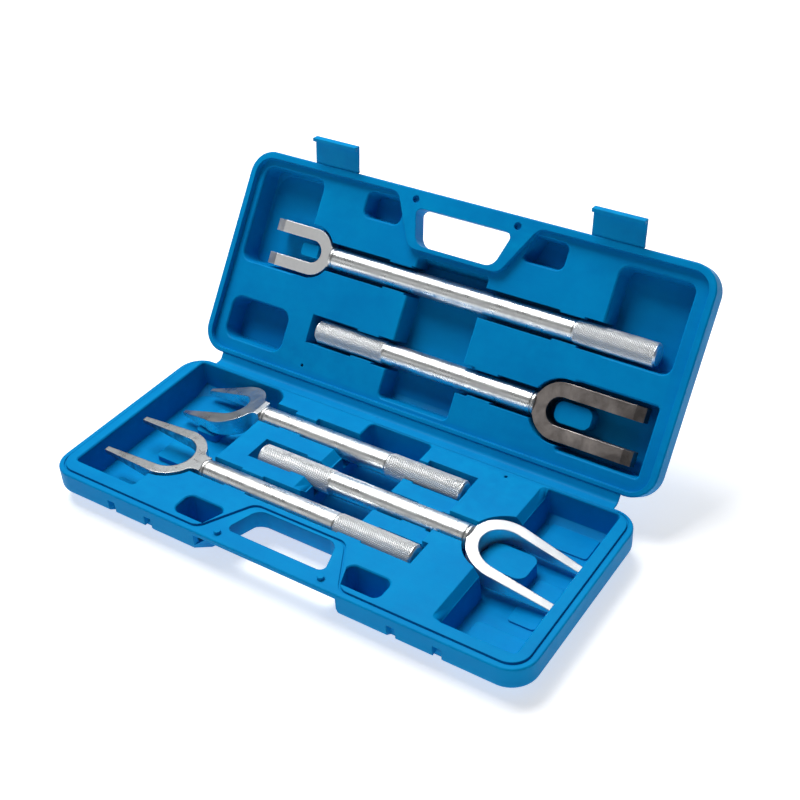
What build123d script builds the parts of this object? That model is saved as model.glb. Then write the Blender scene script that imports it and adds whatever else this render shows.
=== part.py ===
"""Five pickle-fork ball joint separators in a hinged double-wall carry case.

Millimetres, +Z up. The origin is the centre of the face that the case rests on, +X runs along the
case and the handle is towards -Y. The lid stands open. Both halves are drawn tray-up about the hinge
axis, the base reaching forwards and the lid backwards, and the lid is then swung up from lying flat.
"""
import os

from build123d import *

os.makedirs("parts", exist_ok=True)

# Case, overall
CASE_LENGTH = 450.0
CASE_REACH = 188.8
HALF_DEPTH = 32.0
CORNER_R = 22.0
BAND_DEPTH = 18.5
WALL_SLOPE_IN = 19.0
BOTTOM_CORNER_R = 15.0
BAND_EDGE_R = 4.0
BOTTOM_EDGE_R = 3.0
WALL = 2.0
RIM_GAP = 0.3
LID_SWING_OPEN = 125.7
HALF_TURN = 180.0

# Rim, plateau and tray
LAND = 6.0
BACK_LAND = 4.0
PLATEAU_RISE = 1.0
LID_RECESS = 5.6
STEP_R = 16.0
CHANNEL_WIDTH = 1.2
CHANNEL_DEPTH = 0.9
RIM_BREAK = 0.9
POCKET_DRAFT = 5.0
POCKET_BREAK = 1.1
BREAK_SLOPE = 45.0
CUT_ABOVE = 3.0

# Hand hole and grip bar, offsets in hundredths of the case's length and reach
HOLE_FRONT_HALF = 10.55
HOLE_BACK_HALF = 8.4
HOLE_FRONT = 91.9
HOLE_BACK = 75.5
HOLE_FRONT_R = 5.0
HOLE_BACK_R = 11.0
STEP_FRONT_HALF = 15.2
STEP_BACK_HALF = 9.8
STEP_BACK = 73.5
STEP_BEND_R = 11.0
BAR_DEPTH = 15.0
BAR_NOSE = 10.6
BAR_NOSE_HALF = 15.1
FINGER_FRONT_HALF = 16.5
FINGER_FRONT = 108.0
FINGER_BACK_HALF = 10.6
FINGER_BACK = 72.0
FINGER_R = 9.0
FINGER_FLARE = -22.0

# Locating pegs on the base and their sockets in the lid
PEG_R = 2.8
PEG_HEIGHT = 2.6
PEG_STATION = 11.0
PEG_REACH = 95.4
PEG_PLAY = 0.4
BLOW_HOLE_R = 1.4
BLOW_HOLE_BASE = (24.5, 5.5)
BLOW_HOLE_LID = (-26.0, 6.5)

# Tools
BAR_R = 10.0
KNURL_RISE = 0.5
GRIP_R = BAR_R + KNURL_RISE
GRIP_LENGTH = 72.5
GRIP_CHAMFER = 1.6
GRIP_CAP = 3.0
SPIGOT_R = 8.0
BAR_CHAMFER = 0.8
WELD_LENGTH = 3.0
WELD_INSET = 0.5
WELD_BULGE = 0.45
LIFT_CLEARANCE = 0.6
BASE_AXIS_UP = LID_RECESS + RIM_GAP - LIFT_CLEARANCE - GRIP_R
TOOL_STACK = 1.905 * GRIP_R
LID_AXIS_DOWN = BASE_AXIS_UP + TOOL_STACK - RIM_GAP
TROUGH_FLOOR_PLAY = 0.4
CLIP_PLAY = 0.7
CLIP_LENGTH = 22.0
TROUGH_PLAY = 2.3
NECK_PLAY = 3.0

# Fork heads: radii of the rounded root, steel behind it and half spreads at the tips, then heights
# over and under the bar's axis at the root and at the tips, and the share of the top that is level
FORK_A = {"outer": 20.9, "inner": 10.2, "root": 10.0, "tip_out": 20.9, "tip_in": 10.2,
          "over": 7.0, "under": -7.0, "level": 0.86, "tip_over": 4.0, "tip_under": -7.0}
FORK_B = {"outer": 24.0, "inner": 12.0, "root": 11.0, "tip_out": 24.0, "tip_in": 12.0,
          "over": 7.0, "under": -7.0, "level": 0.91, "tip_over": 4.5, "tip_under": -7.0}
FORK_C = {"outer": 29.3, "inner": 15.2, "root": 20.0, "tip_out": 20.5, "tip_in": 17.0,
          "over": 9.5, "under": -9.5, "level": 0.06, "tip_over": -10.3, "tip_under": -13.8}
FORK_D = {"outer": 29.3, "inner": 20.2, "root": 15.5, "tip_out": 26.2, "tip_in": 21.5,
          "over": 7.0, "under": -7.0, "level": 0.4, "tip_over": 5.5, "tip_under": 2.0}
FORK_E = {"outer": 30.2, "inner": 20.5, "root": 9.0, "tip_out": 26.5, "tip_in": 19.5,
          "over": 6.9, "under": -9.5, "level": 0.06, "tip_over": -12.9, "tip_under": -16.1}
NECK_HALF = 9.0
NECK_BLEND_R = 7.0
NECK_BLEND_START = 3.0
HEAD_PLAY = 3.0

# Where each tool lies: fork tips, weld and grip end along the case, row across it, in hundredths
TOOL_A = {"tip": -41.4, "weld": -27.0, "end": 42.7, "row": 59.2}
TOOL_B = {"tip": 43.9, "weld": 23.6, "end": -25.4, "row": 24.4}
TOOL_C = {"tip": -42.6, "weld": -25.3, "end": 19.8, "row": 20.3}
TOOL_D = {"tip": -44.3, "weld": -24.7, "end": 21.2, "row": 64.2}
TOOL_E = {"tip": 45.0, "weld": 26.7, "end": -18.2, "row": 42.8}

# Pockets: left, right, back, front in hundredths, then corner radius
BASE_FINGER_TROUGH = (-5.2, 8.4, 2.6, 59.5, 5.0)
BASE_FINGER_RAMP = (-6.8, 0.0, 12.0, 57.0, 1.0)
BASE_SHELVES = (7.0, 20.6, 20.5, 62.0, 4.0)
BASE_LEFT_BAY = (-46.7, -32.4, 3.2, 90.3, 3.0)
BASE_LEFT_BAY_HEADS = (-41.0, -24.7, 3.2, 66.0, 14.0)
BASE_RIGHT_BAY = (32.4, 46.5, 3.1, 91.4, 3.5)
BASE_RIGHT_LEDGE = (31.3, 40.0, 3.1, 91.4, 3.5)
BASE_SMALL_LEFT = (-21.8, -13.4, 82.6, 94.0, 6.5)
BASE_SMALL_RIGHT = (13.4, 21.8, 82.6, 94.0, 6.5)
LID_FINGER_TROUGH = (-7.6, 7.8, 4.3, 71.3, 5.0)
LID_LEFT_BAY = (-47.2, -32.6, 46.3, 93.1, 9.0)
LID_LEFT_POCKET = (-46.2, -32.1, 8.0, 28.7, 10.0)
LID_RIGHT_POCKET = (31.9, 46.1, 52.2, 91.4, 8.0)
LID_RIGHT_BAY = (30.0, 46.2, 8.1, 39.3, 3.0)
LID_SMALL_LEFT = (-22.2, -13.8, 81.8, 94.0, 6.5)
LID_SMALL_RIGHT = (13.0, 21.4, 81.8, 94.0, 6.5)
BAY_FLOOR_LEFT = 5.0
FINGER_FLOOR_LEFT = 6.0
SMALL_FLOOR_LEFT = 8.0
LEDGE_DROP = 6.5
LEDGE_SLOPE = 38.0
SHELF_DROP = 4.0
RAMP_DROP = 6.5

# Islands and floor panels standing in the pockets
BASE_LEFT_ISLAND = (-37.8, -32.8, 17.7, 36.3, 4.0)
BASE_LEFT_MIDDLE = (-39.6, -32.7, 46.9, 59.1, 4.0)
BASE_LEFT_FRONT = (-41.1, -32.7, 78.7, 89.5, 2.0)
BASE_RIGHT_PANEL = (35.0, 44.6, 72.0, 88.0, 4.0)
BASE_RIGHT_PANEL_MID = (39.0, 44.0, 40.0, 66.0, 3.0)
BASE_RIGHT_PANEL_BACK = (34.6, 43.8, 5.0, 20.5, 3.0)
LID_RIGHT_ISLAND = (27.4, 34.6, 19.6, 29.2, 7.0)
LID_LEFT_ISLAND = (-34.6, -30.6, 56.3, 62.7, 3.0)
GAP_ISLAND_TOP = 13.5
GAP_ISLAND_REACH = 22.7
GAP_ISLAND_R = 8.0
GAP_ISLAND_ROOT_PLAY = 2.7
GAP_ISLAND_SIDE_PLAY = 6.15
LEFT_ISLAND_TOP = 20.0
LID_ISLAND_TOP = 12.0
STEP_HEIGHT = 4.5
PANEL_HEIGHT = 1.2

# Latches
LATCH_STATION = 30.2
LATCH_WIDTH = 45.5
LATCH_THICK = 2.0
LATCH_DROP = 1.6
LATCH_STANDOFF = 0.3
LATCH_LIP = 5.6
LATCH_LIP_THICK = 3.0
LATCH_LIP_R = 0.9
LATCH_FLARE = 30.0
QUARTER_TURN = 90.0
LATCH_ROOT_R = 1.2
CATCH_LEDGE = 17.8
CATCH_PLAY = 0.6
CATCH_BACK = 6.5
CATCH_SIDE_PLAY = 1.2
LATCH_LENGTH = CATCH_LEDGE + CATCH_PLAY + LATCH_LIP_THICK + LATCH_DROP + RIM_GAP
NOTCH_HALF_SPACING = 19.5
NOTCH_WIDTH = 7.5
NOTCH_DEEP = 5.5
NOTCH_TOP = 8.0
NOTCH_BOTTOM = 27.0
STRIP_THICK = 0.7

# Living hinge of the case
HINGE_SETBACK = 6.5
WEB_THICK = 1.1
WEB_HALF = 44.5
WEB_BEND_R = 5.0

# Placing the halves
HINGE_Y = CASE_REACH / 2 + HINGE_SETBACK
HINGE_UP = HALF_DEPTH + RIM_GAP / 2
LID_RAISE = HALF_TURN - LID_SWING_OPEN
BASE_PLACE = Location((0, HINGE_Y, HALF_DEPTH))
LID_PLACE = Location((0, HINGE_Y, HINGE_UP)) * Location((0, 0, 0), (LID_RAISE, 0, 0))
LID_PLACE = LID_PLACE * Location((0, 0, -RIM_GAP / 2))
FORWARD = -1
BACKWARD = 1


def along(hundredths):
    """Distance from the case's middle, along its length."""
    return hundredths * CASE_LENGTH / 100


def across(hundredths):
    """Distance from the hinge axis, across the case."""
    return HINGE_SETBACK + hundredths * CASE_REACH / 100


def block(spans, side, top, floor, grow=0.0, taper=0.0):
    """A rounded pocket or island from the level top down to the level floor."""
    left, right, back, front, radius = spans
    x_size = along(right) - along(left)
    y_size = across(front) - across(back)
    middle = ((along(left) + along(right)) / 2, side * (across(back) + across(front)) / 2)
    with BuildPart() as body:
        with BuildSketch(Plane.XY.offset(top)):
            with Locations(middle):
                RectangleRounded(x_size + 2 * grow, y_size + 2 * grow, radius + grow)
        extrude(amount=floor - top, taper=taper)
    return body.part


def pocket(spans, side, surface, floor, grow=0.0):
    """A drafted pocket with a broken edge, or with grow its outer wall seen from the hollow."""
    with BuildPart() as body:
        add(block(spans, side, surface, floor - grow, grow, POCKET_DRAFT))
        if grow == 0:
            add(block(spans, side, surface + CUT_ABOVE, surface - WALL, 0.0))
            add(block(spans, side, surface, surface - POCKET_BREAK, POCKET_BREAK, BREAK_SLOPE))
        else:
            add(block(spans, side, surface + CUT_ABOVE, surface - WALL, grow))
    return body.part


def trough(tool, side, surface, axis_up, ends, play, grow=0.0):
    """The channel a tool's bar lies in, with narrower clips that hold it."""
    row = across(tool["row"])
    floor = axis_up - GRIP_R - TROUGH_FLOOR_PLAY
    start, stop = ends
    back_play, front_play = play
    clip_half = CLIP_LENGTH / 2
    clips = [start + (stop - start) * share for share in (1 / 4, 3 / 4)]
    edges = [start, clips[0] - clip_half, clips[0] + clip_half]
    edges += [clips[1] - clip_half, clips[1] + clip_half, stop]
    runs = [(edges[0], edges[1]), (edges[2], edges[3]), (edges[4], edges[5])]
    tight = GRIP_R + CLIP_PLAY
    with BuildPart() as body:
        with BuildSketch(Plane.XY.offset(surface + CUT_ABOVE)):
            with Locations(((start + stop) / 2, side * row)):
                Rectangle(stop - start + 2 * grow, 2 * (tight + grow))
            for low, high in runs:
                near = row - GRIP_R - back_play
                far = row + GRIP_R + front_play
                with Locations(((low + high) / 2, side * (near + far) / 2)):
                    Rectangle(high - low + 2 * grow, far - near + 2 * grow)
        extrude(amount=floor - grow - surface - CUT_ABOVE)
    return body.part


def trapezoid(front_half, back_half, back, front, side, grow=0.0):
    """Corners of the hand hole's family of outlines, symmetric about the case's middle."""
    x_front = along(front_half) + grow
    x_back = along(back_half) + grow
    y_back = side * (across(back) - grow)
    y_front = side * (across(front) + grow)
    return [(-x_front, y_front), (-x_back, y_back), (x_back, y_back), (x_front, y_front)]


def hand_hole(side, top, floor, grow=0.0):
    """The opening the fingers go through."""
    corners = trapezoid(HOLE_FRONT_HALF, HOLE_BACK_HALF, HOLE_BACK, HOLE_FRONT, side, grow)
    with BuildPart() as body:
        with BuildSketch(Plane.XY.offset(top)) as outline:
            Polygon(*corners, align=None)
            fillet(outline.vertices().group_by(Axis.Y)[0 if side == FORWARD else -1], HOLE_FRONT_R + grow)
            fillet(outline.vertices().group_by(Axis.Y)[-1 if side == FORWARD else 0], HOLE_BACK_R)
        extrude(amount=floor - top)
    return body.part


def finger_relief(side, grow=0.0):
    """Room under the grip bar, or with grow what the hollow leaves solid for it and the bar."""
    corners = trapezoid(FINGER_FRONT_HALF, FINGER_BACK_HALF, FINGER_BACK, FINGER_FRONT, side, grow)
    with BuildPart() as body:
        with BuildSketch(Plane.XY.offset(-BAR_DEPTH + grow)) as outline:
            Polygon(*corners, align=None)
            fillet(outline.vertices().group_by(Axis.Y)[-1 if side == FORWARD else 0], FINGER_R)
        extrude(amount=-HALF_DEPTH, taper=FINGER_FLARE)
        if grow > 0:
            extrude(outline.sketch, amount=BAR_DEPTH)
    return body.part


def rim_outline(inset, radius):
    """The rounded rectangle of the case's rim."""
    RectangleRounded(CASE_LENGTH - 2 * inset, CASE_REACH - 2 * inset, radius)


def shell_form(side, top, inset):
    """The case half's outer form, or the form lying inset inside it, from the level top down."""
    middle = side * (HINGE_SETBACK + CASE_REACH / 2)
    with BuildPart() as body:
        with BuildSketch(Plane.XY.offset(top)):
            with Locations((0, middle)):
                rim_outline(inset, CORNER_R - inset)
        extrude(amount=-BAND_DEPTH - top)
        with BuildSketch(Plane.XY.offset(-BAND_DEPTH)):
            with Locations((0, middle)):
                rim_outline(inset, CORNER_R - inset)
        with BuildSketch(Plane.XY.offset(-HALF_DEPTH + inset)):
            with Locations((0, middle)):
                rim_outline(WALL_SLOPE_IN + inset, BOTTOM_CORNER_R)
        loft()
    return body.part


def catch_recesses(grow=0.0):
    """Recesses under the base's front band, whose upper ledges the latches hook under."""
    front = FORWARD * (HINGE_SETBACK + CASE_REACH)
    width = LATCH_WIDTH + 2 * (CATCH_SIDE_PLAY + grow)
    spots = [(sign * along(LATCH_STATION), front, grow - CATCH_LEDGE) for sign in (-1, 1)]
    with BuildPart() as body:
        with Locations(*spots):
            Box(width, 2 * (CATCH_BACK + grow), HALF_DEPTH, align=(Align.CENTER, Align.CENTER, Align.MAX))
    return body.part


def bar_nose(side):
    """What the grip bar's slanting front underside leaves out."""
    front = side * (HINGE_SETBACK + CASE_REACH)
    back = front - side * BAR_NOSE
    with BuildPart() as body:
        with BuildSketch(Plane.YZ.offset(-along(BAR_NOSE_HALF))):
            Polygon((front, BAR_NOSE - BAR_DEPTH), (back, -BAR_DEPTH), (front, -BAR_DEPTH), align=None)
        extrude(amount=2 * along(BAR_NOSE_HALF))
    return body.part


def blank(side):
    """The outer form of one half, cut away under the grip bar."""
    with BuildPart() as body:
        add(shell_form(side, 0, 0))
        waist = body.edges().filter_by_position(Axis.Z, -BAND_DEPTH, -BAND_DEPTH)
        fillet(waist, BAND_EDGE_R)
        fillet(body.edges().group_by(Axis.Z)[0], BOTTOM_EDGE_R)
        chamfer(body.edges().group_by(Axis.Z)[-1], RIM_BREAK)
        add(finger_relief(side), mode=Mode.SUBTRACT)
        add(bar_nose(side), mode=Mode.SUBTRACT)
    return body.part


def hollow(side):
    """The room between the two skins before the pockets are taken out of it."""
    with BuildPart() as body:
        add(shell_form(side, -WALL, WALL))
        add(finger_relief(side, WALL), mode=Mode.SUBTRACT)
    return body.part


def step_area(side, floor, height, inset=0.0):
    """The area inside the parting step: the base's plateau or the lid's tray."""
    x_half = CASE_LENGTH / 2 - LAND - inset
    y_back = side * (HINGE_SETBACK + BACK_LAND + inset)
    y_front = side * (HINGE_SETBACK + CASE_REACH - LAND - inset)
    x_notch = along(STEP_FRONT_HALF) + inset
    x_notch_back = along(STEP_BACK_HALF) + inset
    y_notch = side * (across(STEP_BACK) - inset)
    right = [(x_notch_back, y_notch), (x_notch, y_front), (x_half, y_front), (x_half, y_back)]
    left = [(-x, y) for x, y in reversed(right)]
    with BuildPart() as body:
        with BuildSketch(Plane.XY.offset(floor)) as outline:
            Polygon(*(right + left), align=None)
            corners = outline.vertices().filter_by(lambda v: abs(abs(v.X) - x_half) < 1)
            fillet(corners, STEP_R)
            bends = outline.vertices().filter_by(lambda v: abs(v.X) <= x_notch + 1)
            bends = bends.filter_by(lambda v: abs(abs(v.X) - x_half) > STEP_R + 1)
            fillet(bends, STEP_BEND_R)
        extrude(amount=height)
    return body.part


def room_for_pockets(side, top):
    """How far pockets may reach before the outer skin would become too thin."""
    with BuildPart() as body:
        add(shell_form(side, top, WALL))
        add(finger_relief(side, WALL), mode=Mode.SUBTRACT)
    return body.part


def catch_notches(grow=0.0):
    """Notches in the base's front wall near both ends of each catch recess."""
    front = FORWARD * (HINGE_SETBACK + CASE_REACH)
    spots = [(sign * along(LATCH_STATION) + shift, front, grow - NOTCH_TOP)
             for sign in (-1, 1) for shift in (-NOTCH_HALF_SPACING, NOTCH_HALF_SPACING)]
    with BuildPart() as body:
        with Locations(*spots):
            Box(NOTCH_WIDTH + 2 * grow, 2 * (NOTCH_DEEP + grow), NOTCH_BOTTOM - NOTCH_TOP + 2 * grow,
                align=(Align.CENTER, Align.CENTER, Align.MAX))
    return body.part


def blow_hole(spot, side):
    """The small hole the moulding was blown through, open to the hollow."""
    x_spot, y_spot = spot
    with BuildPart() as body:
        with Locations((along(x_spot), side * across(y_spot), 0)):
            Cylinder(BLOW_HOLE_R, 4 * WALL + 2 * LID_RECESS)
    return body.part


def peg_spots(side):
    """Peg and socket positions on the grip bar."""
    return [(x, side * across(PEG_REACH)) for x in (-along(PEG_STATION), along(PEG_STATION))]


def head_well(tool, fork, side, surface, grow=0.0):
    """The round end of a bay that a fork's root lies in."""
    toward = -1 if tool["tip"] < tool["weld"] else 1
    centre = along(tool["weld"]) + toward * (fork["root"] + fork["inner"])
    with BuildPart() as body:
        with BuildSketch(Plane.XY.offset(surface + CUT_ABOVE)):
            with Locations((centre, side * across(tool["row"]))):
                Circle(fork["outer"] + HEAD_PLAY + grow)
            with Locations((centre + toward * fork["outer"] / 2, side * across(tool["row"]))):
                Rectangle(fork["outer"], 2 * (fork["outer"] + HEAD_PLAY + grow))
        extrude(amount=BAY_FLOOR - grow - surface - CUT_ABOVE)
    return body.part


def gap_island(tool, fork, side, top, grow=0.0):
    """A block that stands up from a bay's floor between a fork's tines."""
    toward = -1 if tool["tip"] < tool["weld"] else 1
    centre = along(tool["weld"]) + toward * (fork["root"] + fork["inner"])
    near = centre - toward * (fork["inner"] - GAP_ISLAND_ROOT_PLAY)
    far = centre + toward * GAP_ISLAND_REACH
    half = fork["inner"] - GAP_ISLAND_SIDE_PLAY
    with BuildPart() as body:
        with BuildSketch(Plane.XY.offset(top)):
            with Locations(((near + far) / 2, side * across(tool["row"]))):
                RectangleRounded(abs(far - near) + 2 * grow, 2 * (half + grow), GAP_ISLAND_R + grow)
        extrude(amount=-HALF_DEPTH - top)
    return body.part


def bar_span(tool, weld_play, end_play):
    """The two ends of a tool's trough along the case, lower end first."""
    weld, end = along(tool["weld"]), along(tool["end"])
    toward = 1 if end > weld else -1
    return sorted((weld - toward * weld_play, end + toward * end_play))


BASE_SURFACE = PLATEAU_RISE
LID_SURFACE = -LID_RECESS
BAY_FLOOR = -(HALF_DEPTH - BAY_FLOOR_LEFT)
FINGER_FLOOR = -(HALF_DEPTH - FINGER_FLOOR_LEFT)
SMALL_FLOOR = -(HALF_DEPTH - SMALL_FLOOR_LEFT)
EVEN_PLAY = (TROUGH_PLAY, TROUGH_PLAY)
BACK_ROW_PLAY = (2 * TROUGH_PLAY, TROUGH_PLAY)


def base_hollows(grow=0.0):
    """Everything sunk into the base."""
    up = BASE_SURFACE
    with BuildPart() as body:
        for spans in (BASE_LEFT_BAY, BASE_LEFT_BAY_HEADS, BASE_RIGHT_BAY):
            add(pocket(spans, FORWARD, up, BAY_FLOOR, grow))
        add(head_well(TOOL_D, FORK_D, FORWARD, up, grow))
        add(head_well(TOOL_E, FORK_E, FORWARD, up, grow))
        add(pocket(BASE_FINGER_TROUGH, FORWARD, up, FINGER_FLOOR, grow))
        for spans in (BASE_SMALL_LEFT, BASE_SMALL_RIGHT):
            add(pocket(spans, FORWARD, up, SMALL_FLOOR, grow))
        add(block(BASE_RIGHT_LEDGE, FORWARD, up, up - LEDGE_DROP - grow, grow, LEDGE_SLOPE))
        add(block(BASE_FINGER_RAMP, FORWARD, up, up - RAMP_DROP - grow, grow, BREAK_SLOPE))
        add(block(BASE_SHELVES, FORWARD, up + CUT_ABOVE, up - SHELF_DROP - grow, grow))
        add(trough(TOOL_C, FORWARD, up, BASE_AXIS_UP, bar_span(TOOL_C, FORK_C["root"], NECK_PLAY),
                   BACK_ROW_PLAY, grow))
        add(trough(TOOL_D, FORWARD, up, BASE_AXIS_UP, bar_span(TOOL_D, FORK_D["root"], NECK_PLAY),
                   EVEN_PLAY, grow))
        add(trough(TOOL_E, FORWARD, up, BASE_AXIS_UP, bar_span(TOOL_E, FORK_E["root"], 2 * NECK_PLAY),
                   EVEN_PLAY, grow))
        island = gap_island(TOOL_E, FORK_E, FORWARD, -GAP_ISLAND_TOP - grow, -grow)
        add(island, mode=Mode.SUBTRACT)
        island = block(BASE_LEFT_ISLAND, FORWARD, -LEFT_ISLAND_TOP - grow, -HALF_DEPTH, -grow)
        add(island, mode=Mode.SUBTRACT)
        if grow == 0:
            for spans in (BASE_LEFT_MIDDLE, BASE_LEFT_FRONT):
                step = block(spans, FORWARD, BAY_FLOOR + STEP_HEIGHT, BAY_FLOOR)
                add(step, mode=Mode.SUBTRACT)
            for spans in (BASE_RIGHT_PANEL, BASE_RIGHT_PANEL_MID, BASE_RIGHT_PANEL_BACK):
                panel = block(spans, FORWARD, BAY_FLOOR + PANEL_HEIGHT, BAY_FLOOR)
                add(panel, mode=Mode.SUBTRACT)
            add(room_for_pockets(FORWARD, up + CUT_ABOVE), mode=Mode.INTERSECT)
    return body.part


def lid_hollows(grow=0.0):
    """Everything sunk into the lid's tray."""
    up = LID_SURFACE
    down = -LID_AXIS_DOWN
    with BuildPart() as body:
        for spans in (LID_LEFT_BAY, LID_LEFT_POCKET, LID_RIGHT_POCKET, LID_RIGHT_BAY):
            add(pocket(spans, BACKWARD, up, BAY_FLOOR, grow))
        add(head_well(TOOL_A, FORK_A, BACKWARD, up, grow))
        add(head_well(TOOL_B, FORK_B, BACKWARD, up, grow))
        add(pocket(LID_FINGER_TROUGH, BACKWARD, up, FINGER_FLOOR, grow))
        for spans in (LID_SMALL_LEFT, LID_SMALL_RIGHT):
            add(pocket(spans, BACKWARD, up, SMALL_FLOOR, grow))
        add(trough(TOOL_A, BACKWARD, up, down, bar_span(TOOL_A, FORK_A["root"], 2 * NECK_PLAY),
                   EVEN_PLAY, grow))
        add(trough(TOOL_B, BACKWARD, up, down, bar_span(TOOL_B, FORK_B["root"], 2 * NECK_PLAY),
                   EVEN_PLAY, grow))
        for spans in (LID_RIGHT_ISLAND, LID_LEFT_ISLAND):
            island = block(spans, BACKWARD, -LID_ISLAND_TOP - grow, -HALF_DEPTH, -grow)
            add(island, mode=Mode.SUBTRACT)
        if grow == 0:
            add(room_for_pockets(BACKWARD, up + CUT_ABOVE), mode=Mode.INTERSECT)
    return body.part


# Base half
with BuildPart() as base_void:
    add(hollow(FORWARD))
    add(base_hollows(WALL), mode=Mode.SUBTRACT)
    add(hand_hole(FORWARD, CUT_ABOVE, -2 * HALF_DEPTH, WALL), mode=Mode.SUBTRACT)
    add(catch_notches(WALL), mode=Mode.SUBTRACT)
    add(catch_recesses(WALL), mode=Mode.SUBTRACT)

with BuildPart() as base_form:
    add(blank(FORWARD))
    add(step_area(FORWARD, -CHANNEL_DEPTH, 2 * CHANNEL_DEPTH, -CHANNEL_WIDTH), mode=Mode.SUBTRACT)
    add(step_area(FORWARD, -CHANNEL_DEPTH, PLATEAU_RISE + CHANNEL_DEPTH))
    with Locations(*[(x, y, 0) for x, y in peg_spots(FORWARD)]):
        Cylinder(PEG_R, PEG_HEIGHT, align=(Align.CENTER, Align.CENTER, Align.MIN))
    add(base_hollows(), mode=Mode.SUBTRACT)
    add(hand_hole(FORWARD, CUT_ABOVE, -2 * HALF_DEPTH), mode=Mode.SUBTRACT)
    add(catch_notches(), mode=Mode.SUBTRACT)
    add(catch_recesses(), mode=Mode.SUBTRACT)
    add(max(base_void.part.solids(), key=lambda s: s.volume), mode=Mode.SUBTRACT)
    add(blow_hole(BLOW_HOLE_BASE, FORWARD), mode=Mode.SUBTRACT)

with BuildPart() as case_base:
    with Locations(BASE_PLACE):
        add(base_form.part)
case_base.part.label = "case_base"
export_step(case_base.part, "parts/case_base.step")

# Lid half
with BuildPart() as lid_void:
    add(hollow(BACKWARD))
    add(step_area(BACKWARD, -LID_RECESS - WALL, LID_RECESS + WALL, -WALL), mode=Mode.SUBTRACT)
    add(lid_hollows(WALL), mode=Mode.SUBTRACT)
    add(hand_hole(BACKWARD, CUT_ABOVE, -2 * HALF_DEPTH, WALL), mode=Mode.SUBTRACT)

with BuildPart() as lid_form:
    add(blank(BACKWARD))
    add(step_area(BACKWARD, -LID_RECESS, LID_RECESS + CUT_ABOVE), mode=Mode.SUBTRACT)
    add(lid_hollows(), mode=Mode.SUBTRACT)
    add(hand_hole(BACKWARD, CUT_ABOVE, -2 * HALF_DEPTH), mode=Mode.SUBTRACT)
    with Locations(*[(x, y, 0) for x, y in peg_spots(BACKWARD)]):
        Cylinder(PEG_R + PEG_PLAY, 2 * (PEG_HEIGHT + PEG_PLAY), mode=Mode.SUBTRACT)
    add(max(lid_void.part.solids(), key=lambda s: s.volume), mode=Mode.SUBTRACT)
    add(blow_hole(BLOW_HOLE_LID, BACKWARD), mode=Mode.SUBTRACT)

with BuildPart() as case_lid:
    with Locations(LID_PLACE):
        add(lid_form.part)
case_lid.part.label = "case_lid"
export_step(case_lid.part, "parts/case_lid.step")

# Living hinge web between the two back edges, bent as the lid stands open
web_down = (0, 0, -RIM_BREAK - WEB_THICK / 2)
base_edge = (BASE_PLACE * Location((0, -HINGE_SETBACK, 0)) * Location(web_down)).position
lid_edge = (LID_PLACE * Location((0, HINGE_SETBACK, 0)) * Location(web_down)).position
lid_run = lid_edge - (LID_PLACE * Location(web_down)).position
knee_y = lid_edge.Y - (lid_edge.Z - base_edge.Z) * lid_run.Y / lid_run.Z
web_points = [(base_edge.Y, base_edge.Z), (knee_y, base_edge.Z), (lid_edge.Y, lid_edge.Z)]
with BuildPart() as case_hinge:
    with BuildSketch(Plane.YZ.offset(-along(WEB_HALF))):
        with BuildLine():
            FilletPolyline(*web_points, radius=WEB_BEND_R)
        trace(line_width=WEB_THICK)
    extrude(amount=2 * along(WEB_HALF))
case_hinge.part.label = "case_hinge"
export_step(case_hinge.part, "parts/case_hinge.step")


def latch_place(station):
    """The latch's hinge line on the lid's front wall, turned out to its open angle."""
    outward = HINGE_SETBACK + CASE_REACH + LATCH_STANDOFF + LATCH_ROOT_R
    return LID_PLACE * Location((station, outward, -LATCH_DROP)) * Location((0, 0, 0), (LATCH_FLARE, 0, 0))


def latch(station):
    """A flap with a rounded root and a hooked lip that turns in towards the base."""
    lip_shape = [
        (LATCH_LENGTH - LATCH_LIP_THICK, 0),
        (LATCH_LENGTH - LATCH_LIP_THICK, LATCH_LIP),
        (LATCH_LENGTH, LATCH_LIP),
        (LATCH_LENGTH, 0),
    ]
    with BuildPart() as body:
        with BuildSketch(Plane.YZ.offset(-LATCH_WIDTH / 2)) as profile:
            Circle(LATCH_ROOT_R)
            with Locations((LATCH_LENGTH / 2, LATCH_ROOT_R - LATCH_THICK / 2)):
                Rectangle(LATCH_LENGTH, LATCH_THICK)
            Polygon(*lip_shape, align=None)
            tips = profile.vertices().filter_by(lambda v: v.Z > LATCH_LIP - 1 or v.Y > LATCH_LENGTH - 1)
            fillet(tips, LATCH_LIP_R)
        extrude(amount=LATCH_WIDTH)
    with BuildPart() as placed:
        with Locations(latch_place(station)):
            add(body.part)
    return placed.part


def latch_strip(station):
    """The thin strip that joins a latch's root to the lid's wall."""
    outward = HINGE_SETBACK + CASE_REACH + LATCH_STANDOFF / 2
    with BuildPart() as body:
        with Locations(LID_PLACE * Location((station, outward, -LATCH_DROP))):
            Box(LATCH_WIDTH, LATCH_STANDOFF, STRIP_THICK)
    return body.part


for latch_name, latch_side in (("latch_left", -1), ("latch_right", 1)):
    with BuildPart() as latch_body:
        add(latch(latch_side * along(LATCH_STATION)))
    latch_body.part.label = latch_name
    export_step(latch_body.part, f"parts/{latch_name}.step")

    with BuildPart() as strip_body:
        add(latch_strip(latch_side * along(LATCH_STATION)))
        add(latch(latch_side * along(LATCH_STATION)), mode=Mode.SUBTRACT)
    strip_body.part.label = f"{latch_name}_hinge"
    export_step(strip_body.part, f"parts/{latch_name}_hinge.step")


def side_view(fork, length):
    """Outline of a fork head seen from the side."""
    return [(0, fork["under"]), (0, fork["over"]), (length * fork["level"], fork["over"]),
            (length, fork["tip_over"]), (length, fork["tip_under"])]


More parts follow.
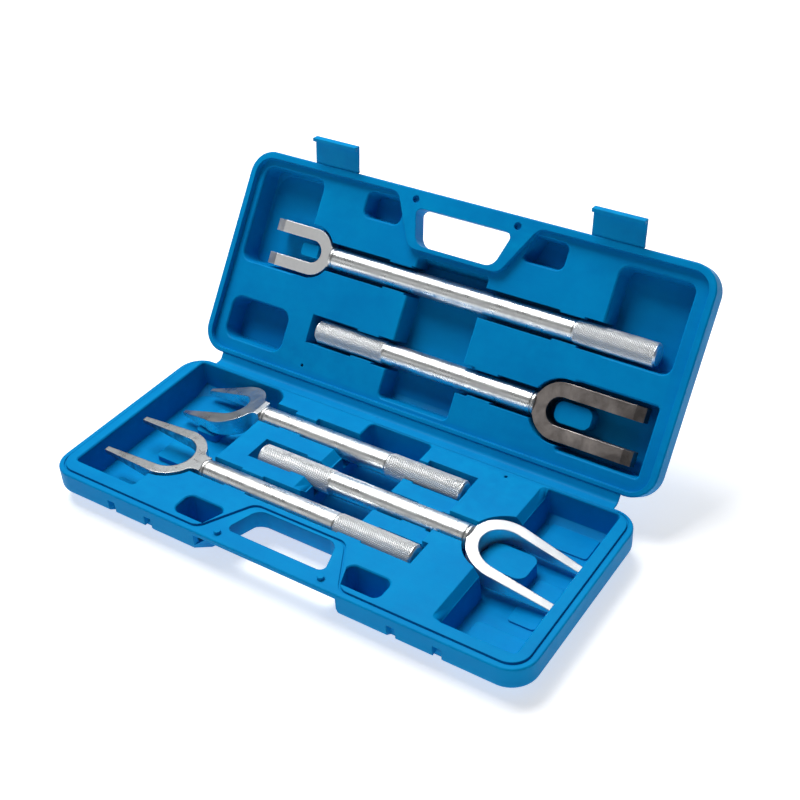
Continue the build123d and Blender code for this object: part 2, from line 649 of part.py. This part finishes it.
def fork_head(fork, length):
    """A fork head from its weld face at the origin out along +X, tray side up."""
    centre = fork["root"] + fork["inner"]
    outer, inner = fork["outer"], fork["inner"]
    beyond = 2 * length
    spread = fork["tip_in"] + (fork["tip_in"] - inner) * length / (length - centre)
    with BuildPart() as body:
        with BuildSketch() as plan:
            with Locations((centre, 0)):
                Circle(outer)
            Polygon((centre, outer), (length, fork["tip_out"]), (length, -fork["tip_out"]),
                    (centre, -outer), align=None)
            Polygon((0, NECK_HALF), (centre, NECK_HALF), (centre, -NECK_HALF), (0, -NECK_HALF), align=None)
            with Locations((-outer, 0)):
                Rectangle(2 * outer, 2 * outer, mode=Mode.SUBTRACT)
            if centre - outer > NECK_BLEND_START:
                joins = plan.vertices().filter_by(lambda v: NECK_BLEND_START < v.X < centre)
                fillet(joins.filter_by(lambda v: abs(abs(v.Y) - NECK_HALF) < 1), NECK_BLEND_R)
            with Locations((centre, 0)):
                Circle(inner, mode=Mode.SUBTRACT)
            Polygon((centre, inner), (beyond, spread), (beyond, -spread), (centre, -inner),
                    align=None, mode=Mode.SUBTRACT)
        extrude(amount=2 * BAR_R, both=True)
        with BuildSketch(Plane.XZ):
            Polygon(*side_view(fork, length), align=None)
        extrude(amount=2 * outer, both=True, mode=Mode.INTERSECT)
    return body.part


def weld_bead():
    """The butt weld between the fork's root and the bar."""
    reach = BAR_R - WELD_INSET
    with BuildPart() as body:
        with BuildSketch(Plane.XZ):
            with BuildLine():
                Line((0, 0), (0, reach))
                ThreePointArc((0, reach), (-WELD_LENGTH / 2, reach + WELD_BULGE), (-WELD_LENGTH, reach))
                Line((-WELD_LENGTH, reach), (-WELD_LENGTH, 0))
                Line((-WELD_LENGTH, 0), (0, 0))
            make_face()
        revolve(axis=Axis.X)
    return body.part


def round_bar(length):
    """The plain bar from the weld back to the grip, with a spigot inside the grip."""
    shoulder = length - GRIP_LENGTH
    with BuildPart() as body:
        with Locations((-WELD_LENGTH, 0, 0)):
            Cylinder(BAR_R, shoulder - WELD_LENGTH, rotation=(0, -QUARTER_TURN, 0),
                     align=(Align.CENTER, Align.CENTER, Align.MIN))
        chamfer(body.edges().group_by(Axis.X)[-1], BAR_CHAMFER)
        with Locations((-shoulder, 0, 0)):
            Cylinder(SPIGOT_R, GRIP_LENGTH - GRIP_CAP, rotation=(0, -QUARTER_TURN, 0),
                     align=(Align.CENTER, Align.CENTER, Align.MIN))
    return body.part


def knurled_grip(length):
    """The knurled grip pressed over the bar's spigot."""
    with BuildPart() as body:
        with Locations((-(length - GRIP_LENGTH), 0, 0)):
            Cylinder(GRIP_R, GRIP_LENGTH, rotation=(0, -QUARTER_TURN, 0),
                     align=(Align.CENTER, Align.CENTER, Align.MIN))
        chamfer(body.edges().group_by(Axis.X)[0], GRIP_CHAMFER)
        chamfer(body.edges().group_by(Axis.X)[-1], KNURL_RISE / 2)
        with Locations((-(length - GRIP_LENGTH), 0, 0)):
            Cylinder(SPIGOT_R, GRIP_LENGTH - GRIP_CAP, rotation=(0, -QUARTER_TURN, 0),
                     align=(Align.CENTER, Align.CENTER, Align.MIN), mode=Mode.SUBTRACT)
    return body.part


def tool_place(tool, side, half_place, axis_up):
    """Where a tool's weld face sits, turned so that its fork points away from its grip."""
    weld_x, end_x = along(tool["weld"]), along(tool["end"])
    turn = HALF_TURN if end_x > weld_x else 0
    return half_place * Location((weld_x, side * across(tool["row"]), axis_up), (0, 0, turn))


TOOLS = (
    ("fork_a", TOOL_A, FORK_A, BACKWARD, LID_PLACE, -LID_AXIS_DOWN),
    ("fork_b", TOOL_B, FORK_B, BACKWARD, LID_PLACE, -LID_AXIS_DOWN),
    ("fork_c", TOOL_C, FORK_C, FORWARD, BASE_PLACE, BASE_AXIS_UP),
    ("fork_d", TOOL_D, FORK_D, FORWARD, BASE_PLACE, BASE_AXIS_UP),
    ("fork_e", TOOL_E, FORK_E, FORWARD, BASE_PLACE, BASE_AXIS_UP),
)

for tool_name, tool, fork, tool_side, half_place, axis_level in TOOLS:
    place = tool_place(tool, tool_side, half_place, axis_level)
    bar_length = abs(along(tool["end"]) - along(tool["weld"]))
    head_length = abs(along(tool["tip"]) - along(tool["weld"]))

    with BuildPart() as head:
        with Locations(place):
            add(fork_head(fork, head_length))
    head.part.label = f"{tool_name}_head"
    export_step(head.part, f"parts/{tool_name}_head.step")

    with BuildPart() as weld:
        with Locations(place):
            add(weld_bead())
    weld.part.label = f"{tool_name}_weld"
    export_step(weld.part, f"parts/{tool_name}_weld.step")

    with BuildPart() as bar:
        with Locations(place):
            add(round_bar(bar_length))
    bar.part.label = f"{tool_name}_bar"
    export_step(bar.part, f"parts/{tool_name}_bar.step")

    with BuildPart() as grip:
        with Locations(place):
            add(knurled_grip(bar_length))
    grip.part.label = f"{tool_name}_grip"
    export_step(grip.part, f"parts/{tool_name}_grip.step")
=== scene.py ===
import math

import bmesh
import bpy
from mathutils import Matrix, Vector


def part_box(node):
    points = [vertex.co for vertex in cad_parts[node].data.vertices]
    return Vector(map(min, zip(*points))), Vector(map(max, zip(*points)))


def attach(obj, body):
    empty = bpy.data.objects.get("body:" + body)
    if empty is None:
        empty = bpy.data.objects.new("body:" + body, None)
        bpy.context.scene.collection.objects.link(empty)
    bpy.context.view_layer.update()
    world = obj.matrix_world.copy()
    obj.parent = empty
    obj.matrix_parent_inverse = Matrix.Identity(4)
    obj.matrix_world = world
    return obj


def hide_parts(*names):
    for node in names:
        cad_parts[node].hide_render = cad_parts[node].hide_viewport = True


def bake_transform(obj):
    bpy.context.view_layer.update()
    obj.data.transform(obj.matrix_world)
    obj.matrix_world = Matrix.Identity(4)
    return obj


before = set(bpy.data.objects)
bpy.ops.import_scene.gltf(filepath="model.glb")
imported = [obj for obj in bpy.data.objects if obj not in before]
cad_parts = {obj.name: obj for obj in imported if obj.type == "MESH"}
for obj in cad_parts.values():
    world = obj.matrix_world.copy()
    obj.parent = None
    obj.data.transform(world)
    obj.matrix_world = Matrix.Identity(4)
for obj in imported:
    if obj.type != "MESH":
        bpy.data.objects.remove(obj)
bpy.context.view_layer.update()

# ---------------------------------------------------------------- node helpers


def new_material(name):
    mat = bpy.data.materials.new(name)
    mat.use_nodes = True
    nodes = mat.node_tree.nodes
    nodes.clear()
    out = nodes.new("ShaderNodeOutputMaterial")
    shader = nodes.new("ShaderNodeBsdfPrincipled")
    mat.node_tree.links.new(shader.outputs["BSDF"], out.inputs["Surface"])
    return mat, mat.node_tree, shader


def add_node(tree, kind, **values):
    node = tree.nodes.new(kind)
    for key, value in values.items():
        if key in node.inputs:
            node.inputs[key].default_value = value
        else:
            setattr(node, key, value)
    return node


def link(tree, a, b):
    tree.links.new(a, b)


def coords(tree, scale=(1, 1, 1), offset=(0, 0, 0)):
    tex = add_node(tree, "ShaderNodeTexCoord")
    mapping = add_node(tree, "ShaderNodeMapping")
    mapping.inputs["Scale"].default_value = scale
    mapping.inputs["Location"].default_value = offset
    link(tree, tex.outputs["Object"], mapping.inputs["Vector"])
    return mapping.outputs["Vector"]


def noise(tree, vector, scale, detail=4.0, roughness=0.55, distortion=0.0):
    node = add_node(tree, "ShaderNodeTexNoise", Scale=scale, Detail=detail, Roughness=roughness,
                    Distortion=distortion)
    link(tree, vector, node.inputs["Vector"])
    return node.outputs["Fac"]


def ramp(tree, factor, stops):
    node = add_node(tree, "ShaderNodeValToRGB")
    elements = node.color_ramp.elements
    while len(elements) < len(stops):
        elements.new(0.5)
    for element, (place, colour) in zip(elements, stops):
        element.position = place
        element.color = (*colour, 1) if len(colour) == 3 else colour
    link(tree, factor, node.inputs["Fac"])
    return node.outputs["Color"]


def span(tree, factor, low, high, from_low=0.0, from_high=1.0):
    node = add_node(tree, "ShaderNodeMapRange")
    node.inputs["From Min"].default_value = from_low
    node.inputs["From Max"].default_value = from_high
    node.inputs["To Min"].default_value = low
    node.inputs["To Max"].default_value = high
    link(tree, factor, node.inputs["Value"])
    return node.outputs["Result"]


def mixed(tree, factor, a, b, blend="MIX"):
    node = add_node(tree, "ShaderNodeMix", data_type="RGBA", blend_type=blend)
    if isinstance(factor, (int, float)):
        node.inputs[0].default_value = factor
    else:
        link(tree, factor, node.inputs[0])
    for socket, value in ((node.inputs[6], a), (node.inputs[7], b)):
        if isinstance(value, tuple):
            socket.default_value = (*value, 1)
        else:
            link(tree, value, socket)
    return node.outputs[2]


def maths(tree, operation, a, b=None):
    node = add_node(tree, "ShaderNodeMath", operation=operation)
    for socket, value in ((node.inputs[0], a), (node.inputs[1], b)):
        if isinstance(value, (int, float)):
            socket.default_value = value
        elif value is not None:
            link(tree, value, socket)
    return node.outputs[0]


def bump(tree, height, strength, distance, normal=None):
    node = add_node(tree, "ShaderNodeBump", Strength=strength, Distance=distance)
    link(tree, height, node.inputs["Height"])
    if normal is not None:
        link(tree, normal, node.inputs["Normal"])
    return node.outputs["Normal"]


def rounded(tree, radius):
    node = add_node(tree, "ShaderNodeBevel", samples=6)
    node.inputs["Radius"].default_value = radius
    return node.outputs["Normal"]


# ---------------------------------------------------------------- materials

PLASTIC_BLUE = (0.0, 0.258, 0.605)
PLASTIC_DEEP = (0.0, 0.206, 0.525)
# Paler blue: used for the random paler flow streaks and for the painted edge highlight.
PLASTIC_PALE_FLOW_AND_EDGE_HIGHLIGHT = (0.0, 0.325, 0.665)


def plastic(name, shift=0.0):
    """Azure moulded polyethylene: satin, finely grained, a little cloudy, with a painted highlight
    that makes convex edges paler in patches.
    """
    mat, tree, shader = new_material(name)
    place = coords(tree, offset=(shift, shift, shift))
    cloud = noise(tree, place, 14.0, 5.0, 0.6)
    flow = noise(tree, coords(tree, scale=(1.0, 5.0, 5.0)), 22.0, 3.0, 0.5, 0.6)
    base = mixed(tree, span(tree, cloud, 0.0, 1.0, 0.3, 0.7), PLASTIC_DEEP, PLASTIC_BLUE)
    base = mixed(tree, span(tree, flow, 0.0, 0.22, 0.45, 0.8), base, PLASTIC_PALE_FLOW_AND_EDGE_HIGHLIGHT)
    # Painted edge highlight: convex edges (high pointiness) are mixed toward the paler blue in noisy
    # patches.
    geometry = add_node(tree, "ShaderNodeNewGeometry")
    painted_edge_highlight = span(tree, geometry.outputs["Pointiness"], 0.0, 1.0, 0.52, 0.60)
    patchy = span(tree, noise(tree, place, 90.0, 3.0), 0.10, 0.45, 0.35, 0.65)
    base = mixed(tree, maths(tree, "MULTIPLY", painted_edge_highlight, patchy), base, PLASTIC_PALE_FLOW_AND_EDGE_HIGHLIGHT)
    link(tree, base, shader.inputs["Base Color"])
    grain = noise(tree, place, 1400.0, 2.0, 0.6)
    smear = noise(tree, place, 55.0, 4.0, 0.6)
    rough = maths(tree, "ADD", span(tree, grain, -0.05, 0.05), span(tree, smear, 0.38, 0.52, 0.3, 0.7))
    link(tree, rough, shader.inputs["Roughness"])
    normal = bump(tree, smear, 0.10, 0.0006, rounded(tree, 0.0011))
    link(tree, bump(tree, grain, 0.16, 0.00012, normal), shader.inputs["Normal"])
    shader.inputs["IOR"].default_value = 1.50
    shader.inputs["Specular IOR Level"].default_value = 0.035
    return mat


def metal(name, bright, dull, rough, streak=0.5, patch_scale=70.0, patch=0.5, edge=0.0004, pits=0.12):
    """Zinc-plated steel: drawn streaks along X, cloudy plating, small pits and stains."""
    mat, tree, shader = new_material(name)
    place = coords(tree)
    drawn = noise(tree, coords(tree, scale=(0.035, 1.0, 1.0)), 2600.0, 3.0, 0.65)
    wide = noise(tree, coords(tree, scale=(0.10, 1.0, 1.0)), 330.0, 3.0, 0.6)
    cloud = noise(tree, place, patch_scale, 6.0, 0.62, 0.4)
    speck = noise(tree, place, 900.0, 3.0, 0.7)
    tone = maths(tree, "MULTIPLY", span(tree, cloud, 0.0, 1.0, 0.38, 0.66), patch)
    base = mixed(tree, tone, bright, dull)
    base = mixed(tree, span(tree, speck, 0.0, 0.55, 0.66, 0.80), base, tuple(c * 0.55 for c in dull))
    link(tree, base, shader.inputs["Base Color"])
    shader.inputs["Metallic"].default_value = 1.0
    wave = span(tree, drawn, -0.5 * streak * 0.16, 0.5 * streak * 0.16)
    rough_base = span(tree, cloud, rough * 0.82, rough * 1.35, 0.35, 0.68)
    link(tree, maths(tree, "ADD", rough_base, wave), shader.inputs["Roughness"])
    normal = bump(tree, wide, 0.025 * streak, 0.0005, rounded(tree, edge))
    normal = bump(tree, drawn, 0.07 * streak, 0.0001, normal)
    link(tree, bump(tree, speck, pits, 0.0001, normal), shader.inputs["Normal"])
    return mat


case_blue = plastic("case_blue")
latch_blue = plastic("latch_blue", 3.1)
bar_zinc = metal("bar_zinc", (0.84, 0.86, 0.86), (0.60, 0.62, 0.62), rough=0.29, streak=0.8,
                 edge=0.0020, pits=0.05)
knurl_zinc = metal(
    "knurl_zinc", (0.93, 0.94, 0.94), (0.74, 0.75, 0.75), rough=0.36, streak=0.2,
    patch_scale=120.0, patch=0.6, edge=0.0001, pits=0.08)
weld_zinc = metal(
    "weld_zinc", (0.80, 0.81, 0.80), (0.52, 0.52, 0.50), rough=0.32, streak=0.2,
    patch_scale=260.0, patch=0.7, edge=0.0008, pits=0.3)
head_zinc = {
    "a": metal(
        "head_pale_zinc", (0.93, 0.94, 0.94), (0.76, 0.77, 0.77), rough=0.40, streak=0.3,
        patch_scale=60.0, patch=0.5, edge=0.0008, pits=0.16),
    "b": metal(
        "head_dark_zinc", (0.40, 0.36, 0.34), (0.17, 0.15, 0.14), rough=0.34, streak=0.7,
        patch_scale=50.0, patch=1.0, edge=0.0007, pits=0.16),
    "c": metal(
        "head_grey_zinc", (0.86, 0.88, 0.88), (0.62, 0.64, 0.64), rough=0.30, streak=0.3,
        patch_scale=60.0, patch=0.7, edge=0.0010, pits=0.16),
    "d": metal(
        "head_mottled_zinc", (0.66, 0.68, 0.69), (0.30, 0.32, 0.33), rough=0.32, streak=0.3,
        patch_scale=110.0, patch=1.0, edge=0.0009, pits=0.28),
    "e": metal(
        "head_bright_zinc", (0.93, 0.94, 0.94), (0.76, 0.77, 0.77), rough=0.36, streak=0.3,
        patch_scale=60.0, patch=0.5, edge=0.0010, pits=0.14),
}


def paint(node, material):
    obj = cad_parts[node]
    for slot in obj.material_slots:
        slot.material = material


for node in ("case_base", "case_lid", "case_hinge"):
    paint(node, case_blue)
for side in ("left", "right"):
    paint(f"latch_{side}", latch_blue)
    paint(f"latch_{side}_hinge", latch_blue)
for letter in "abcde":
    paint(f"fork_{letter}_head", head_zinc[letter])
    paint(f"fork_{letter}_weld", weld_zinc)
    paint(f"fork_{letter}_bar", bar_zinc)
    paint(f"fork_{letter}_grip", knurl_zinc)

# ---------------------------------------------------------------- knurled grips

KNURL_AROUND = 66
KNURL_STEP = 0.00100
KNURL_DEPTH = 0.00055
KNURL_END = 0.0016
KNURL_START = 0.0008
CREST_INSIDE_CAD = 0.00002
BORE_INSET = 0.0020
COLLAR_INSET = 0.0003
END_EDGE = 0.0002
RIM_INSET = 0.0013
END_FACE_INSET = 0.0018


def knurled_grip(letter):
    """A grip with cut diamond points, in place of the plain cylinder that stands for it."""
    low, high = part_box(f"fork_{letter}_grip")
    bar_low, bar_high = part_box(f"fork_{letter}_bar")
    free_side = 1 if low.x + high.x > bar_low.x + bar_high.x else -1
    x_start = low.x if free_side > 0 else high.x
    length = high.x - low.x
    y_mid, z_mid = (low.y + high.y) / 2, (low.z + high.z) / 2
    crest = (high.z - low.z) / 2 - CREST_INSIDE_CAD
    valley = crest - KNURL_DEPTH
    rows = int((length - KNURL_END - KNURL_START) / KNURL_STEP)
    step = (length - KNURL_END - KNURL_START) / rows
    points, faces = [], []

    def ring(run, radius_at):
        first = len(points)
        for a in range(KNURL_AROUND):
            angle = 2 * math.pi * a / KNURL_AROUND
            radius = radius_at(a)
            points.append((x_start + free_side * run, y_mid + radius * math.cos(angle),
                           z_mid + radius * math.sin(angle)))
        return first

    def skin(one, two):
        for a in range(KNURL_AROUND):
            b = (a + 1) % KNURL_AROUND
            faces.append((one + a, one + b, two + b, two + a))

    bore = ring(0.0, lambda a: valley - BORE_INSET)
    collar = ring(0.0, lambda a: valley - COLLAR_INSET)
    skin(bore, collar)
    lattice = []
    for b in range(rows + 1):
        inside = 0 < b < rows
        lattice.append(ring(KNURL_START + b * step,
                            lambda a, b=b, inside=inside: crest if inside and (a + b) % 2 else valley))
    skin(collar, lattice[0])
    for b in range(rows + 1):
        for a in range(KNURL_AROUND):
            if (a + b) % 2 == 0:
                continue
            here = lattice[b] + a
            after = lattice[b] + (a + 1) % KNURL_AROUND
            before = lattice[b] + (a - 1) % KNURL_AROUND
            if b < rows:
                over = lattice[b + 1] + a
                faces.append((here, after, over))
                faces.append((here, over, before))
            if b > 0:
                under = lattice[b - 1] + a
                faces.append((here, under, after))
                faces.append((here, before, under))
    rim = ring(length - END_EDGE, lambda a: valley - RIM_INSET)
    skin(lattice[-1], rim)
    face_edge = ring(length, lambda a: valley - END_FACE_INSET)
    skin(rim, face_edge)
    faces.append(tuple(face_edge + a for a in range(KNURL_AROUND)))
    faces.append(tuple(bore + a for a in range(KNURL_AROUND)))
    mesh = bpy.data.meshes.new(f"knurl_{letter}")
    mesh.from_pydata(points, [], faces)
    work = bmesh.new()
    work.from_mesh(mesh)
    bmesh.ops.recalc_face_normals(work, faces=work.faces)
    work.to_mesh(mesh)
    work.free()
    mesh.materials.append(knurl_zinc)
    grip = bpy.data.objects.new(f"grip_knurl_{letter}", mesh)
    bpy.context.collection.objects.link(grip)
    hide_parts(f"fork_{letter}_grip")
    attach(grip, f"fork_{letter}")


for letter in "abcde":
    knurled_grip(letter)

# ---------------------------------------------------------------- the case's bending web


WEB_CUTS = 12
WEB_CROSS_CUTS = 4
WEB_CROSS_STEP = 0.045
WEB_START_IN = (0.0020, 0.0005)
WEB_END_IN = (0.0014, 0.0016)


def bending_web():
    """The living hinge's web: a copy of the CAD web, cut into fine strips along and across its run."""
    low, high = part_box("case_hinge")
    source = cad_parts["case_hinge"]
    web = bpy.data.objects.new("hinge_web", source.data.copy())
    bpy.context.collection.objects.link(web)
    start = Vector((0, low.y + WEB_START_IN[0], low.z + WEB_START_IN[1]))
    end = Vector((0, high.y - WEB_END_IN[0], high.z - WEB_END_IN[1]))
    run = end - start
    work = bmesh.new()
    work.from_mesh(web.data)
    for cut in range(WEB_CUTS + 1):
        bmesh.ops.bisect_plane(work, geom=work.verts[:] + work.edges[:] + work.faces[:],
                               plane_co=start + run * (cut / WEB_CUTS), plane_no=run.normalized())
    for cut in range(-WEB_CROSS_CUTS, WEB_CROSS_CUTS + 1):
        bmesh.ops.bisect_plane(work, geom=work.verts[:] + work.edges[:] + work.faces[:],
                               plane_co=(cut * WEB_CROSS_STEP, 0, 0), plane_no=(1, 0, 0))
    work.to_mesh(web.data)
    work.free()
    web.data.materials.clear()
    web.data.materials.append(case_blue)
    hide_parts("case_hinge")
    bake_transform(web)


bending_web()

# ---------------------------------------------------------------- stage, light and camera

FLOOR_SIZE = 14
FLOOR_GLOW = 0.58
AMBIENT = 0.11
LENS = 59.17
SENSOR_WIDTH = 36
CLIP_END = 50
CAMERA_PLACE = (0.50909, -0.62739, 0.71054)
CAMERA_FORWARD = (-0.46260, 0.66025, -0.59167)
CAMERA_UP = (-0.29494, 0.51475, 0.80501)

bpy.ops.mesh.primitive_plane_add(size=FLOOR_SIZE, location=(0, 0, 0))
floor = bpy.context.object
floor.name = "floor"
floor_mat, floor_tree, floor_shader = new_material("floor_white")
floor_tone = noise(floor_tree, coords(floor_tree), 2.0, 2.0)
link(floor_tree, mixed(floor_tree, floor_tone, (0.74, 0.74, 0.74), (0.76, 0.76, 0.76)),
     floor_shader.inputs["Base Color"])
floor_shader.inputs["Roughness"].default_value = 0.9
floor_shader.inputs["Emission Color"].default_value = (1, 1, 1, 1)
floor_shader.inputs["Emission Strength"].default_value = FLOOR_GLOW
floor.data.materials.append(floor_mat)

world = bpy.data.worlds.new("studio")
bpy.context.scene.world = world
world.use_nodes = True
world.node_tree.nodes["Background"].inputs["Color"].default_value = (1.0, 1.0, 1.0, 1)
world.node_tree.nodes["Background"].inputs["Strength"].default_value = AMBIENT


def softbox(name, place, aim, width, height, watts):
    light = bpy.data.lights.new(name, "AREA")
    light.shape = "RECTANGLE"
    light.size = width
    light.size_y = height
    light.energy = watts
    lamp = bpy.data.objects.new(name, light)
    lamp.location = place
    lamp.rotation_euler = (Vector(aim) - Vector(place)).to_track_quat("-Z", "Y").to_euler()
    bpy.context.collection.objects.link(lamp)


softbox("key", (-0.95, 0.40, 2.60), (0, 0.02, 0.05), 1.6, 1.3, 76)
softbox("back", (-0.35, 1.60, 1.75), (0, 0.02, 0.05), 1.5, 1.0, 12)
softbox("front", (-1.2, -1.9, 1.15), (0, 0.05, 0.08), 1.6, 1.0, 3)

camera_data = bpy.data.cameras.new("camera")
camera_data.lens = LENS
camera_data.sensor_width = SENSOR_WIDTH
camera = bpy.data.objects.new("camera", camera_data)
bpy.context.collection.objects.link(camera)
forward = Vector(CAMERA_FORWARD).normalized()
up = Vector(CAMERA_UP)
right = forward.cross(up).normalized()
up = right.cross(forward)
turn = Matrix((right, up, -forward)).transposed()
camera.matrix_world = Matrix.Translation(CAMERA_PLACE) @ turn.to_4x4()
camera_data.clip_end = CLIP_END
bpy.context.scene.camera = camera

bpy.context.scene.view_settings.view_transform = "Standard"
